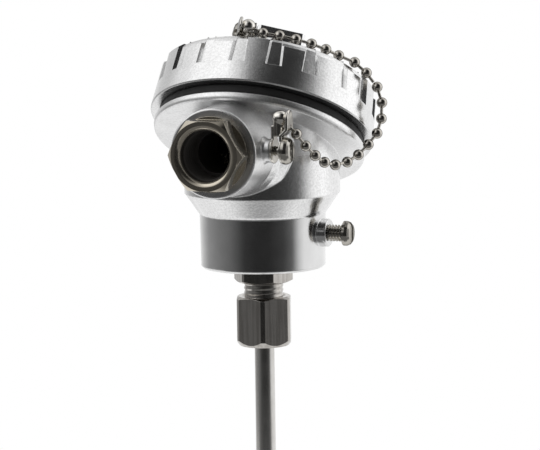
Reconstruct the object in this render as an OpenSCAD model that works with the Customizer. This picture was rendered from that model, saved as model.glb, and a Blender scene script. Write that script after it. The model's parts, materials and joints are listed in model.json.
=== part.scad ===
// Resistance thermometer probe with a die-cast screw-top connection head.
// The probe axis is +Z, the cable entry looks along -Y, the lid leans back to +Y.
// The origin lies on the axis where the sheath leaves the compression nut.

/* [Probe sheath] */
// Outer diameter of the sheath tube
sheath_d = 6; // [4:0.5:6.5]
// Wall of the sheath tube
sheath_wall = 0.5; // [0.4:0.1:0.8]
// Insertion length below the compression nut
sheath_len = 150; // [60:5:400]
// Diameter of the sensing element
element_d = 2.8; // [1.6:0.1:2.8]
// Length of the sensing element
element_len = 20; // [10:1:30]
// Depth by which the sheath is turned down where the fitting grips it
grip_depth = 0.2; // [0.18:0.01:0.25]

/* [Compression fitting] */
// Width across flats of the nut and the nipple
fitting_af = 16; // [15:0.5:18]
// Height of the compression nut
nut_h = 15; // [14:0.5:18]
// Length of bare thread between the nut and the nipple hexagon
thread_gap = 4.2; // [3:0.1:8]
// Height of the nipple hexagon
nipple_hex_h = 4.8; // [3:0.1:8]
// Diameter of the nipple thread that carries the nut
nipple_neck_d = 11.5; // [11:0.1:12]
// Diameter of the nipple thread that enters the head
nipple_top_d = 13.2; // [12:0.1:14.5]
// Length of the nipple thread inside the head
nipple_top_len = 12; // [8:0.5:13]
// Travel of the nut while it is unscrewed
nut_travel = 6; // [2:0.5:8]

/* [Head casting] */
// Diameter of the base at its lower edge
base_d = 37.4; // [36:0.2:44]
// Height of the base up to the cone
base_h = 16.2; // [15:0.2:22]
// Diameter that the base gains by its draft
base_draft = 0.5; // [0:0.1:1]
// Diameter of the neck
neck_d = 46.8; // [45:0.2:52]
// Height of the cone between the base and the neck
cone_h = 5.8; // [4:0.2:9]
// Wall of the casting
cast_wall = 3; // [2:0.1:3.6]
// Height of the tilted rim above the base, measured on the axis
rim_rise = 41.7; // [40:0.1:46]
// Lean of the lid from the horizontal
tilt = 30; // [20:1:32]
// Diameter of the rim flange
flange_d = 63.8; // [63:0.2:68]
// Thickness of the rim flange
flange_t = 2.5; // [2:0.1:4]
// Height of the threaded collar above the flange
collar_h = 11.4; // [9:0.1:12]

/* [Cable entry] */
// Height of the entry axis above the base
entry_rise = 38; // [37:0.1:40]
// Distance from the probe axis to the machined entry face
entry_reach = 40.4; // [38:0.2:50]
// Diameter of the entry boss
entry_boss_d = 26.2; // [25:0.2:28]
// Core diameter of the thread cut in the boss
entry_thread_d = 18.4; // [16:0.1:19]
// Width across flats of the entry bush
bush_af = 20; // [19:0.5:22]
// Length of the bush outside the boss, collar included
bush_out = 7.3; // [6:0.1:14]
// Thickness of the bush collar
bush_collar_t = 1.5; // [1:0.1:3]
// Diameter of the bush collar
bush_collar_d = 22; // [21:0.5:24]
// Core diameter of the thread inside the bush
bush_bore_d = 14.8; // [12.6:0.1:15.5]
// Radius of the rounded lip at the bush's mouth
bush_lip = 1.7; // [0.8:0.1:1.8]
// Diameter of the cable way behind that thread
bush_way_d = 12; // [8:0.2:12.4]

/* [Screw lid] */
// Diameter of the skirt at its lower edge
lid_d = 67.4; // [67:0.2:72]
// Diameter that the skirt loses up to its top
lid_draft = 2.4; // [1:0.1:3]
// Height of the lid
lid_h = 15.5; // [14:0.1:20]
// Thickness of the lid's top
lid_top_t = 2.2; // [1.5:0.1:3]
// Number of grip lands round the skirt
land_count = 19; // [12:1:24]
// Share of each pitch that is land
land_share = 0.55; // [0.4:0.01:0.7]
// Depth of the recesses between the lands
land_depth = 1.1; // [0.6:0.1:1.3]
// Draft of the walls between lands and recesses
land_draft = 28; // [10:1:45]
// Height at which the recesses start
land_start = 6.4; // [4:0.1:8]
// Height at which the ordinary lands stop
land_stop = 13; // [10:0.1:14]
// Width of the grip bar across the lid
bar_w = 14.3; // [10:0.1:18]
// Height of the grip bar
bar_h = 5; // [4.6:0.1:8]
// Reach of the grip bar from the lid's centre
bar_reach = 27.4; // [24:0.1:28]
// Distance of the grip bar's middle from the lid's centre
bar_side = -1.9; // [-3:0.1:0]
// Direction of the grip bar, from +X towards the low side of the lid
bar_angle = -62; // [-66:1:-60]
// Travel of the lid while it is unscrewed
lid_travel = 8; // [4:0.5:8.5]

/* [Seal] */
// Outer diameter of the seal ring
seal_d = 62; // [61:0.2:63]
// Thickness of the squeezed seal ring
seal_t = 2.9; // [2:0.1:4]

/* [Earth screw] */
// Height of the earth screw above the base
earth_rise = 10.7; // [9:0.1:11]
// Diameter of the boss for the earth screw
earth_boss_d = 8.4; // [7:0.1:9]
// Length of the boss beyond the base wall
earth_boss_len = 2.5; // [1.5:0.1:4]
// Thread diameter of the earth screw
earth_thread_d = 3.9; // [3:0.1:4]
// Bare thread between the boss and the screw head
earth_gap = 4.7; // [2:0.1:7]
// Diameter of the earth screw's head
earth_head_d = 7.4; // [6:0.1:8]
// Thickness of the earth screw's head
earth_head_t = 2.5; // [1.8:0.1:3.5]

/* [Terminals] */
// Diameter of the terminal block
block_d = 38; // [34:0.5:38.5]
// Thickness of the terminal block
block_t = 8; // [6:0.5:9]
// Number of terminals
terminal_count = 4; // [2:1:6]
// Distance of the terminals from the axis
terminal_pcd = 24; // [21:0.5:25]
// Distance between the block's fixing screws
block_screw_pitch = 33; // [32:0.2:34]
// Diameter of one lead wire
lead_d = 1; // [0.6:0.1:1.2]

/* [Ball chain] */
// Diameter of one bead
bead_d = 3.2; // [2.4:0.1:3.4]
// Distance from bead to bead
bead_pitch = 4.9; // [4.6:0.05:5.2]
// Diameter of the link pins between beads
pin_d = 0.9; // [0.6:0.1:1.1]
// Thickness of the shackle strap
strap_t = 0.8; // [0.5:0.1:1]
// Width of the shackle strap
strap_w = 4.8; // [4:0.1:5.4]
// Distance between the shackle's two leaves at the screw
leaf_gap = 1.9; // [1.6:0.1:2.2]
// Length of the shackle, from the screw to the caught bead
shackle_len = 9.5; // [9:0.1:10]
// Diameter of the shackle's eyes
eye_d = 7.4; // [6:0.1:7.5]
// Diameter of the chain screws' heads
chain_head_d = 7.8; // [6:0.1:8]
// Thickness of the chain screws' heads
chain_head_t = 2.4; // [1.6:0.1:2.8]
// Diameter of the cast lug for the chain
lug_d = 6.9; // [6:0.1:7.2]
// Height of the lug above the entry axis
lug_up = 0.5; // [-1:0.1:1]
// Distance of the lug behind the machined entry face
lug_back = 8.1; // [6.8:0.1:9]

/* [Hidden] */
$fn = 96;

run_fit = 0.05;          // radial clearance of screwed and sliding pairs
small_gap = 0.3;         // clearance between pieces that don't touch
edge = 0.6;              // small machined chamfers
deep = 100;              // longer than any cut needs

// Heights on the probe axis
sheath_r = sheath_d / 2;
base_z = nut_h + thread_gap + nipple_hex_h;
hex_z = nut_h + thread_gap;
cone_z = base_z + base_h;
neck_z = cone_z + cone_h;
rim_z = base_z + rim_rise;
entry_z = base_z + entry_rise;
earth_z = base_z + earth_rise;
ledge_z = neck_z + 1;
block_z = ledge_z + block_t;

base_r = base_d / 2;
base_top_r = base_r + base_draft / 2;
neck_r = neck_d / 2;
bore_r = neck_r - cast_wall;
flange_r = flange_d / 2;
cavity_r = 26;
collar_r = 29.6;

// Heights along the lid axis, counted from the lid's lower edge
seat_h = -seal_t;
collar_top_h = seat_h + collar_h;
floor_h = seat_h - cast_wall + 3;
lid_r = lid_d / 2;
lid_top_r = (lid_d - lid_draft) / 2;
rim_round = 1.2;

// Compression fitting
nut_r = fitting_af / 2;
corner = 2 / sqrt(3);
neck_thread_r = nipple_neck_d / 2;
neck_end_z = 6.8;

// Cable entry bush
lip_steps = 8;

// Lead wires and terminals
lead_r = lead_d / 2;
lead_count = 4;
lead_offset = 1.1;
lead_bend = 3;
plate_t = 1.6;
plate_w = 7;
plate_len = 9;
lead_z = block_z + plate_t + lead_r;
potting_len = 4;
sheath_top_z = base_z + nipple_top_len + 1;
insulator_top_z = sheath_top_z - potting_len;
tip_wall = 1;
grip_start = 0.3;        // the grip starts this far below the nut
tip_z = -sheath_len + tip_wall;

// Chain and shackles
bead_r = bead_d / 2;
chain_screw_r = 1.25;
chain_screw_depth = 4;
shackle_span = leaf_gap + 2 * strap_t;
cup_wall = 0.55;
cup_r = bead_r + cup_wall;
cup_x = strap_t + cup_r - 0.35;
outer_x = cup_x + cup_r - 0.15;
barrel_r = 1.45;
lug_x = entry_boss_d / 2 + 2.3;
lug_reach = entry_reach - lug_back;
pad_t = 0.3;
pad_up = 3.9;
pad_back = 8.4;
shackle_rise = -5;
chain_r = max(lid_r - lid_draft / 2 - 2.5, bar_reach + bead_r + 1);
chain_h = lid_h + bead_r + 0.05;
chain_start = bar_angle - 14.3;
rim_beads = 6;
chain_step = 360 * bead_pitch / (2 * PI * chain_r);

// Beads that go over the lid's edge, as radius, direction and height in the lid's frame
edge_beads = [[31.8, -19.9, 16.9], [34.1, -13.8, 14.8]];

// Route of the hanging chain, from the lid's edge to the body shackle
hang_route = [
    [35.8, 2.2, 78.3], [37.3, 2, 73.6], [37.5, 0.8, 69.3], [36.9, -1.8, 64.9],
    [35.1, -5.4, 61.7], [33.1, -9, 59], [31, -12.9, 57.4], [28.8, -17.1, 57.1],
    [27, -21.4, 58.4], [25.5, -25.4, 60.9], [23.8, -28.6, 64], [22.1, -30.8, 67.3]
];
route_samples = 12;

cast_colour = [0.80, 0.81, 0.82];
steel_colour = [0.62, 0.61, 0.60];
nickel_colour = [0.72, 0.69, 0.62];
brass_colour = [0.80, 0.66, 0.36];
black_colour = [0.06, 0.06, 0.06];
ceramic_colour = [0.92, 0.90, 0.85];
wire_colour = [0.85, 0.20, 0.15];

// The lid's frame: its origin is on the probe axis at the lid's lower edge
module in_lid_frame() {
    translate([0, 0, rim_z])
        rotate([-tilt, 0, 0])
            children();
}

// Everything below a height of the lid's frame
module below(h) {
    in_lid_frame()
        translate([0, 0, h - 2 * deep])
            cylinder(h = 2 * deep, r = deep);
}

// A hexagonal bar whose corners are turned off, by slope, at either end
module turned_hex(af, h, low_cut, high_cut) {
    r = af / 2 * corner;
    low_r = af / 2 - 0.5;
    high_r = af / 2 - 0.3;
    intersection() {
        rotate([0, 0, 90])
            cylinder(h = h, r = r, $fn = 6);
        rotate_extrude()
            polygon([
                [0, 0], [low_r, 0], [r, low_cut],
                [r, h - high_cut], [high_r, h], [0, h]
            ]);
    }
}

// ---------------------------------------------------------------- head body
module base_solid() {
    translate([0, 0, base_z])
        rotate_extrude()
            polygon([
                [0, 0], [base_r - edge, 0], [base_r, edge],
                [base_top_r, base_h], [base_top_r + 0.5, base_h + 0.6],
                [neck_r - 0.9, base_h + cone_h - 0.7], [neck_r, base_h + cone_h + 0.6],
                [neck_r, base_h + cone_h + 1], [0, base_h + cone_h + 1]
            ]);
}

module neck_solid() {
    intersection() {
        translate([0, 0, neck_z + 0.5])
            cylinder(h = deep, r = neck_r);
        below(seat_h - 0.5);
    }
}

module flange_solid() {
    in_lid_frame()
        translate([0, 0, seat_h - flange_t])
            rotate_extrude()
                polygon([
                    [0, 0], [flange_r - 0.8, 0], [flange_r - 0.2, 0.4],
                    [flange_r, 1], [flange_r, flange_t - 0.3],
                    [flange_r - 0.3, flange_t], [0, flange_t]
                ]);
}

module collar_solid() {
    in_lid_frame()
        translate([0, 0, seat_h - 0.5])
            rotate_extrude()
                polygon([
                    [0, 0], [collar_r, 0], [collar_r, collar_h - edge + 0.5],
                    [collar_r - edge, collar_h + 0.5], [0, collar_h + 0.5]
                ]);
}

// Boss of the cable entry, with a machined face and a flared root
module entry_boss() {
    r = entry_boss_d / 2;
    intersection() {
        translate([0, 0, entry_z])
            rotate([90, 0, 0])
                rotate_extrude()
                    polygon([
                        [0, 0], [r + 3.2, 0], [r + 3.2, neck_r - 4],
                        [r + 1.6, neck_r - 1], [r + 0.6, neck_r + 2.2],
                        [r, entry_reach - 0.4], [r - 0.4, entry_reach], [0, entry_reach]
                    ]);
        below(seat_h - 0.5);
    }
}

module chain_lug() {
    translate([0, -lug_reach, entry_z + lug_up])
        rotate([0, 90, 0])
            rotate_extrude()
                polygon([
                    [0, 0], [lug_d / 2 + 0.8, 0], [lug_d / 2 + 0.8, lug_x - 3],
                    [lug_d / 2, lug_x - 1.6], [lug_d / 2, lug_x - 0.3],
                    [lug_d / 2 - 0.3, lug_x], [0, lug_x]
                ]);
}

module earth_boss() {
    translate([0, 0, earth_z])
        rotate([0, 90, 0])
            rotate_extrude()
                polygon([
                    [0, 0], [earth_boss_d / 2 + 0.3, 0],
                    [earth_boss_d / 2, base_r + earth_boss_len - 0.3],
                    [earth_boss_d / 2 - 0.3, base_r + earth_boss_len], [0, base_r + earth_boss_len]
                ]);
}

module head_cavity() {
    // tilted mouth under the lid
    in_lid_frame()
        translate([0, 0, floor_h])
            cylinder(h = deep, r = cavity_r);
    // round well of the neck, down to the ledge of the terminal block
    intersection() {
        translate([0, 0, ledge_z])
            cylinder(h = deep, r = bore_r);
        below(floor_h + 0.5);
    }
    // core of the base and the tapped hole of the fitting
    translate([0, 0, base_z + nipple_top_len + 1.5])
        cylinder(h = deep / 4, r = block_screw_pitch / 2 - 2.3);
    translate([0, 0, base_z - 1])
        cylinder(h = deep / 4, d = nipple_top_d + 2 * run_fit);
}

module head_body() {
    color(cast_colour)
        difference() {
            union() {
                base_solid();
                neck_solid();
                flange_solid();
                collar_solid();
                entry_boss();
                chain_lug();
                earth_boss();
            }
            head_cavity();
            // tapped cable entry
            translate([0, 0, entry_z])
                rotate([90, 0, 0])
                    cylinder(h = deep, d = entry_thread_d);
            // tapped hole of the chain screw
            translate([lug_x - chain_screw_depth - 0.4, -lug_reach, entry_z + lug_up])
                rotate([0, 90, 0])
                    cylinder(h = 10, r = chain_screw_r + run_fit, $fn = 32);
            // tapped hole of the earth screw
            translate([earth_tip_x - earth_gap, 0, earth_z])
                rotate([0, 90, 0])
                    cylinder(h = deep, d = earth_thread_d + 2 * run_fit, $fn = 48);
            // tapped holes of the block screws
            for (side = [-1, 1])
                translate([side * block_screw_pitch / 2, 0, ledge_z - block_screw_depth])
                    cylinder(h = deep / 4, r = block_screw_r + run_fit, $fn = 32);
        }
}

earth_tip_x = base_r - 4.5;
block_screw_r = 1.6;
block_screw_depth = 6;

// ---------------------------------------------------------------- seal and lid
module seal_ring() {
    color(black_colour)
        in_lid_frame()
            translate([0, 0, seat_h])
                rotate_extrude()
                    polygon([
                        [collar_r + 0.15, 0], [seal_d / 2 - 0.4, 0], [seal_d / 2, 0.5],
                        [seal_d / 2, seal_t - 0.5], [seal_d / 2 - 0.4, seal_t - run_fit],
                        [collar_r + 0.15, seal_t - run_fit]
                    ]);
}

// Radius of the skirt at a height
function skirt_r(h) = lid_r - (lid_r - lid_top_r) * h / lid_h;

// Radius of the recess floors at a height
function floor_r(h) = skirt_r(h) - land_depth;

// Chord of the skirt that an angle spans
function chord(angle) = 2 * skirt_r(land_start) * sin(angle / 2);

// The lid before its recesses are cut
module lid_blank() {
    bore = collar_r + run_fit;
    rotate_extrude()
        polygon([
            [bore + 0.5, 0], [lid_r - 0.3, 0], [lid_r, 0.4], [skirt_r(tall_top), tall_top],
            [floor_r(tall_top) - 0.3, lid_h + 0.1], [0, lid_h + 0.1],
            [0, lid_h - lid_top_t], [bore - 2, lid_h - lid_top_t],
            [bore, lid_h - lid_top_t - 2], [bore, 0.5]
        ]);
}

// Everything outside a band of recess floors, from a height up over the rim
module outside_floor(low, lift) {
    top_r = floor_r(lid_h) + lift;
    rotate_extrude()
        polygon([
            [floor_r(low) + lift, low + 0.4], [lid_r + 3, low - 1.5], [lid_r + 3, lid_h + 3],
            [top_r - rim_round, lid_h + 3], [top_r - rim_round, lid_h],
            [top_r - rim_round * 0.6, lid_h - rim_round * 0.1],
            [top_r - rim_round * 0.25, lid_h - rim_round * 0.35],
            [top_r, lid_h - rim_round]
        ]);
}

// A block that opens outwards by the walls' draft, centred on +X
module drafted_block(width) {
    r_in = floor_r(lid_h) - 2;
    r_out = lid_r + 4;
    depth_to_skirt = skirt_r(land_start) - r_in;
    half_in = width / 2 - depth_to_skirt * tan(land_draft);
    half_out = width / 2 + (r_out - skirt_r(land_start)) * tan(land_draft);
    meet = half_in < 0 ? r_in - half_in / tan(land_draft) : r_in;
    translate([0, 0, land_start - 3])
        linear_extrude(lid_h)
            polygon([
                [meet, -max(half_in, 0) - 0.01], [r_out, -half_out],
                [r_out, half_out], [meet, max(half_in, 0) + 0.01]
            ]);
}

// Raised bar for turning the lid, with a pad for the chain screw
module grip_bar() {
    half = bar_w / 2;
    cut = 0.9;
    rotate([0, 0, bar_angle])
        translate([0, bar_side, 0]) {
            translate([0, 0, lid_h - 0.5])
                linear_extrude(bar_h + 0.5)
                    polygon([
                        [-bar_reach, cut - half], [cut - bar_reach, -half],
                        [bar_reach - cut, -half], [bar_reach, cut - half],
                        [bar_reach, half - cut], [bar_reach - cut, half],
                        [cut - bar_reach, half], [-bar_reach, half - cut]
                    ]);
            translate([bar_reach - pad_back, 1 - half, lid_h + pad_up])
                rotate([90, 0, 0])
                    cylinder(h = 1 + pad_t, d = eye_d);
        }
}

module lid() {
    pitch = 360 / land_count;
    recess = chord(pitch * (1 - land_share));
    wall = (skirt_r(land_start) - floor_r(lid_h)) * tan(land_draft);
    land = chord(pitch * land_share) + 4 * wall;
    color(cast_colour)
        in_lid_frame()
            difference() {
                union() {
                    difference() {
                        lid_blank();
                        // recesses between the lands
                        intersection() {
                            outside_floor(land_start, 0);
                            union() {
                                for (i = [0 : land_count - 1])
                                    rotate([0, 0, land_phase + (i + 0.5) * pitch])
                                        drafted_block(recess);
                            }
                        }
                        // tops of the ordinary lands
                        intersection() {
                            outside_floor(land_stop, 0.05);
                            union() {
                                for (i = [0 : land_count - 1])
                                    if (i % tall_every != 0)
                                        rotate([0, 0, land_phase + i * pitch])
                                            drafted_block(land);
                            }
                        }
                        // the rim over the tall lands
                        outside_top();
                    }
                    grip_bar();
                }
                // tapped hole of the chain screw
                rotate([0, 0, bar_angle])
                    translate([bar_reach - pad_back, bar_side - bar_w / 2 + chain_screw_depth, lid_h + pad_up])
                        rotate([90, 0, 0])
                            cylinder(h = 10, r = chain_screw_r + run_fit, $fn = 32);
            }
}

// Everything above the lid's top face
module outside_top() {
    translate([0, 0, lid_h])
        cylinder(h = 3, r = lid_r + 3);
}

land_phase = -77.1;
tall_every = 4;
tall_top = lid_h - rim_round;

// ---------------------------------------------------------------- cable entry bush
// A point of the lip's quarter round, from the bore's wall to the end face
function lip_point(bore, a) = [bore + bush_lip * (1 - cos(a)), bush_lip * sin(a)];

module entry_bush() {
    thread_len = entry_reach - neck_r + 1.5;
    way_r = bush_way_d / 2;
    bore = bush_bore_d / 2;
    hex_h = bush_out - bush_collar_t;
    bore_depth = bush_out + 4;
    color(nickel_colour)
        translate([0, -entry_reach, entry_z])
            rotate([90, 0, 0])
                difference() {
                    union() {
                        translate([0, 0, -thread_len])
                            cylinder(h = thread_len + 0.5, d = entry_thread_d - 2 * run_fit);
                        cylinder(h = bush_collar_t, d = bush_collar_d);
                        translate([0, 0, bush_collar_t])
                            intersection() {
                                cylinder(h = hex_h, r = bush_af / 2 * corner, $fn = 6);
                                rotate_extrude()
                                    polygon([
                                        [0, 0], [bush_af, 0], [bush_af, hex_h - bush_af / 2],
                                        [bush_af / 2 + 0.55, hex_h - 0.45],
                                        [bush_af / 2 + 0.1, hex_h], [0, hex_h]
                                    ]);
                            }
                    }
                    // cable way, threaded socket and its rounded mouth
                    translate([0, 0, -deep / 2])
                        cylinder(h = deep, r = way_r);
                    translate([0, 0, bush_out - bore_depth])
                        cylinder(h = deep, r = bore);
                    translate([0, 0, bush_out - bush_lip])
                        rotate_extrude()
                            polygon(concat(
                                [[0, -0.2], [bore, -0.2]],
                                [for (i = [0 : lip_steps]) lip_point(bore, i * 90 / lip_steps)],
                                [[bore + bush_lip, bush_lip + 1], [0, bush_lip + 1]]
                            ));
                }
}

// ---------------------------------------------------------------- earth screw
module slotted_head(d, t) {
    r = d / 2;
    difference() {
        rotate_extrude($fn = 64)
            polygon([
                [0, 0], [r, 0], [r, t * 0.35], [r - t * 0.12, t * 0.68],
                [r - t * 0.4, t * 0.92], [r - t * 0.8, t], [0, t]
            ]);
        translate([-d, -d * 0.07, t * 0.55])
            cube([2 * d, d * 0.14, t]);
    }
}

module earth_screw() {
    face_x = base_r + earth_boss_len;
    color(steel_colour)
        translate([0, 0, earth_z])
            rotate([0, 90, 0]) {
                translate([0, 0, earth_tip_x])
                    cylinder(h = face_x + earth_gap - earth_tip_x + 0.2, d = earth_thread_d, $fn = 48);
                translate([0, 0, face_x + earth_gap])
                    slotted_head(earth_head_d, earth_head_t);
            }
}

// ---------------------------------------------------------------- compression fitting
module fitting_nipple() {
    bore = sheath_r + 0.1;
    r = neck_thread_r;
    top_r = nipple_top_d / 2;
    color(steel_colour)
        difference() {
            union() {
                translate([0, 0, neck_end_z])
                    rotate_extrude()
                        polygon([
                            [0, 0], [r - 0.7, 0], [r, 0.7],
                            [r, hex_z - neck_end_z + 0.2], [0, hex_z - neck_end_z + 0.2]
                        ]);
                translate([0, 0, hex_z])
                    rotate([0, 0, nipple_turn])
                        turned_hex(fitting_af, nipple_hex_h, 0.9, 0.4);
                translate([0, 0, base_z - 0.5])
                    rotate_extrude()
                        polygon([
                            [0, 0], [top_r, 0], [top_r, nipple_top_len - 0.3],
                            [top_r - 0.8, nipple_top_len + 0.5], [0, nipple_top_len + 0.5]
                        ]);
            }
            translate([0, 0, -1])
                cylinder(h = deep, r = bore);
            // conical seat of the ferrule
            translate([0, 0, neck_end_z - 0.01])
                cylinder(h = 2.4, r1 = bore + 1.5, r2 = bore - 0.01);
        }
}

nipple_turn = 14;
nut_turn_rest = 20;

module ferrule() {
    r = sheath_r + run_fit;
    low = neck_end_z - 2.4;
    color(brass_colour)
        rotate_extrude()
            polygon([
                [r, low], [r + 0.9, low], [r + 1.6, low + 1],
                [r + 1.6, low + 1.9], [r + 0.3, low + 4], [r, low + 4]
            ]);
}

module compression_nut() {
    hole = sheath_r + 0.15;
    thread = neck_thread_r + run_fit;
    seat_z = neck_end_z - 2.6;
    color(steel_colour)
        difference() {
            rotate([0, 0, nut_turn_rest])
                turned_hex(fitting_af, nut_h, 2.2, 0.9);
            translate([0, 0, -1])
                cylinder(h = nut_h, r = hole);
            translate([0, 0, seat_z])
                cylinder(h = 1.2, r1 = hole + 0.9, r2 = hole + 1.9);
            translate([0, 0, seat_z + 1.19])
                cylinder(h = nut_h, r = thread);
            translate([0, 0, nut_h - 0.8])
                cylinder(h = 0.81, r1 = thread, r2 = thread + 0.8);
        }
}

// ---------------------------------------------------------------- probe
module probe_sheath() {
    inner = sheath_r - sheath_wall;
    color(steel_colour)
        rotate_extrude()
            polygon([
                [0, -sheath_len], [sheath_r - 0.8, -sheath_len], [sheath_r, -sheath_len + 0.8],
                [sheath_r, -grip_start], [sheath_r - grip_depth, -grip_start],
                [sheath_r - grip_depth, sheath_top_z],
                [inner, sheath_top_z], [inner, tip_z], [0, tip_z]
            ]);
}

module sensing_element() {
    color(ceramic_colour)
        translate([0, 0, tip_z])
            cylinder(h = element_len, d = element_d, $fn = 48);
}

module lead_insulator() {
    bottom = tip_z + element_len;
    color(ceramic_colour)
        translate([0, 0, bottom])
            cylinder(h = insulator_top_z - bottom, r = sheath_r - sheath_wall - 0.15, $fn = 64);
}

module potting_seal() {
    color(black_colour)
        difference() {
            translate([0, 0, insulator_top_z])
                cylinder(h = potting_len + 0.4, r = sheath_r - sheath_wall - 0.02, $fn = 64);
            for (i = [0 : lead_count - 1])
                rotate([0, 0, lead_turn(i)])
                    translate([lead_offset, 0, insulator_top_z - 1])
                        cylinder(h = 10, r = lead_r + 0.02, $fn = 24);
        }
}

function lead_turn(i) = 45 + 360 / lead_count * i;

// A lead that rises through the block, bends outwards and ends under its screw
module lead_wire(turn) {
    reach = terminal_pcd / 2 - terminal_screw_r - small_gap;
    color(wire_colour)
        rotate([0, 0, turn]) {
            translate([lead_offset, 0, insulator_top_z])
                cylinder(h = lead_z - lead_bend - insulator_top_z, r = lead_r, $fn = 24);
            translate([lead_offset + lead_bend, 0, lead_z - lead_bend])
                rotate([90, 0, 0])
                    rotate([0, 0, 90])
                        rotate_extrude(angle = 90, $fn = 48)
                            translate([lead_bend, 0])
                                circle(r = lead_r, $fn = 24);
            translate([lead_offset + lead_bend, 0, lead_z])
                rotate([0, 90, 0])
                    cylinder(h = reach - lead_offset - lead_bend, r = lead_r, $fn = 24);
        }
}

// ---------------------------------------------------------------- terminals
module terminal_block() {
    hole_r = 3.4;
    color(ceramic_colour)
        translate([0, 0, ledge_z])
            difference() {
                rotate_extrude()
                    polygon([
                        [hole_r, 0], [block_d / 2 - 0.5, 0], [block_d / 2, 0.5],
                        [block_d / 2, block_t - 1], [block_d / 2 - 1, block_t], [hole_r, block_t]
                    ]);
                for (side = [-1, 1])
                    translate([side * block_screw_pitch / 2, 0, -1])
                        cylinder(h = block_t + 2, r = block_screw_r + 0.3, $fn = 32);
                for (i = [0 : terminal_count - 1])
                    rotate([0, 0, terminal_turn(i)])
                        translate([terminal_pcd / 2, 0, block_t - terminal_screw_len])
                            cylinder(h = deep, r = terminal_screw_r + small_gap, $fn = 32);
            }
}

function terminal_turn(i) = 45 + 360 / terminal_count * i;
terminal_screw_r = 1.4;
terminal_screw_len = 5;
terminal_head_d = 5.4;
terminal_head_t = 1.6;
block_head_d = 6;
block_head_t = 2;

module terminal_plates() {
    color(brass_colour)
        for (i = [0 : terminal_count - 1])
            rotate([0, 0, terminal_turn(i)])
                difference() {
                    translate([terminal_pcd / 2 - plate_len / 2 - 0.5, -plate_w / 2, block_z])
                        cube([plate_len, plate_w, plate_t]);
                    translate([terminal_pcd / 2, 0, block_z - 1])
                        cylinder(h = 10, r = terminal_screw_r + run_fit, $fn = 32);
                }
}

module terminal_screws() {
    color(nickel_colour)
        for (i = [0 : terminal_count - 1])
            rotate([0, 0, terminal_turn(i)])
                translate([terminal_pcd / 2, 0, block_z + plate_t + lead_d + run_fit])
                    union() {
                        translate([0, 0, -terminal_screw_len])
                            cylinder(h = terminal_screw_len + edge, r = terminal_screw_r, $fn = 32);
                        slotted_head(terminal_head_d, terminal_head_t);
                    }
}

module block_screws() {
    color(nickel_colour)
        for (side = [-1, 1])
            translate([side * block_screw_pitch / 2, 0, block_z])
                union() {
                    translate([0, 0, -block_t - block_screw_depth + 0.5])
                        cylinder(h = block_t + block_screw_depth, r = block_screw_r, $fn = 32);
                    slotted_head(block_head_d, block_head_t);
                }
}

// ---------------------------------------------------------------- ball chain
// Turns children's +Z along a direction, at a point
module along(p, dir) {
    translate(p)
        rotate([0, acos(dir[2] / norm(dir)), atan2(dir[1], dir[0])])
            children();
}

// A pin from one point to another
module pin_between(a, b, d) {
    along(a, b - a)
        cylinder(h = norm(b - a), d = d, $fn = 24);
}

// Beads at a list of points, joined by link pins
module bead_run(points) {
    last = len(points) - 1;
    for (i = [0 : last])
        along(points[i], points[min(i + 1, last)] - points[max(i - 1, 0)])
            rotate([90, 0, 0])
                sphere(d = bead_d, $fn = 32);
    for (i = [1 : last])
        pin_between(points[i - 1], points[i], pin_d);
}

// Bead k of the lid's run, in the lid's frame
function lid_bead(k) =
    let (over = k - rim_beads)
    let (r = over < 0 ? chain_r : edge_beads[over][0])
    let (a = over < 0 ? chain_start + k * chain_step : edge_beads[over][1])
    let (h = over < 0 ? chain_h : edge_beads[over][2])
    [r * cos(a), r * sin(a), h];

// A point of the lid's frame in the part's frame
function from_lid(p) = [
    p[0],
    p[1] * cos(tilt) + p[2] * sin(tilt),
    rim_z - p[1] * sin(tilt) + p[2] * cos(tilt)
];

// A smooth curve through the route's points
function curve_point(p0, p1, p2, p3, t) =
    0.5 * (2 * p1 + (p2 - p0) * t + (2 * p0 - 5 * p1 + 4 * p2 - p3) * t * t
    + (3 * p1 - p0 - 3 * p2 + p3) * t * t * t);

function curve(route) = [
    for (i = [0 : len(route) - 2], j = [0 : route_samples - 1])
        curve_point(
            route[max(i - 1, 0)], route[i], route[i + 1],
            route[min(i + 2, len(route) - 1)], j / route_samples
        ),
    route[len(route) - 1]
];

function lengths(line, i = 1, sum = 0) =
    i > len(line) - 1 ? [sum] : concat([sum], lengths(line, i + 1, sum + norm(line[i] - line[i - 1])));

// The point at a distance along a line of points
function point_at(line, cum, s) =
    let (u = lookup(s, [for (i = [0 : len(line) - 1]) [cum[i], i]]))
    let (i = min(floor(u), len(line) - 2))
    line[i] + (line[i + 1] - line[i]) * (u - i);

function hanging_beads() =
    let (line = curve(hang_route))
    let (cum = lengths(line))
    let (total = cum[len(cum) - 1])
    let (count = round(total / bead_pitch))
    [for (k = [0 : count]) point_at(line, cum, k * total / count)];

module chain_on_lid() {
    lid_run = [for (k = [0 : rim_beads + len(edge_beads) - 1]) from_lid(lid_bead(k))];
    points = concat([from_lid(lid_catch)], lid_run);
    last = points[len(points) - 1];
    first = hanging_beads()[0];
    reach = norm(first - last) - bead_r - small_gap;
    color(nickel_colour)
        union() {
            bead_run(points);
            pin_between(last, last + (first - last) * reach / norm(first - last), pin_d);
        }
}

module chain_hanging() {
    color(nickel_colour)
        bead_run(concat(hanging_beads(), [body_catch]));
}

// A round end of the strap, with its edges rounded by the press
module pressed_disc(r) {
    rotate([0, 90, 0])
        rotate_extrude($fn = 64)
            polygon([
                [0, 0], [r - strap_t * 0.3, 0], [r, strap_t * 0.3],
                [r, strap_t * 0.7], [r - strap_t * 0.3, strap_t], [0, strap_t]
            ]);
}

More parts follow.
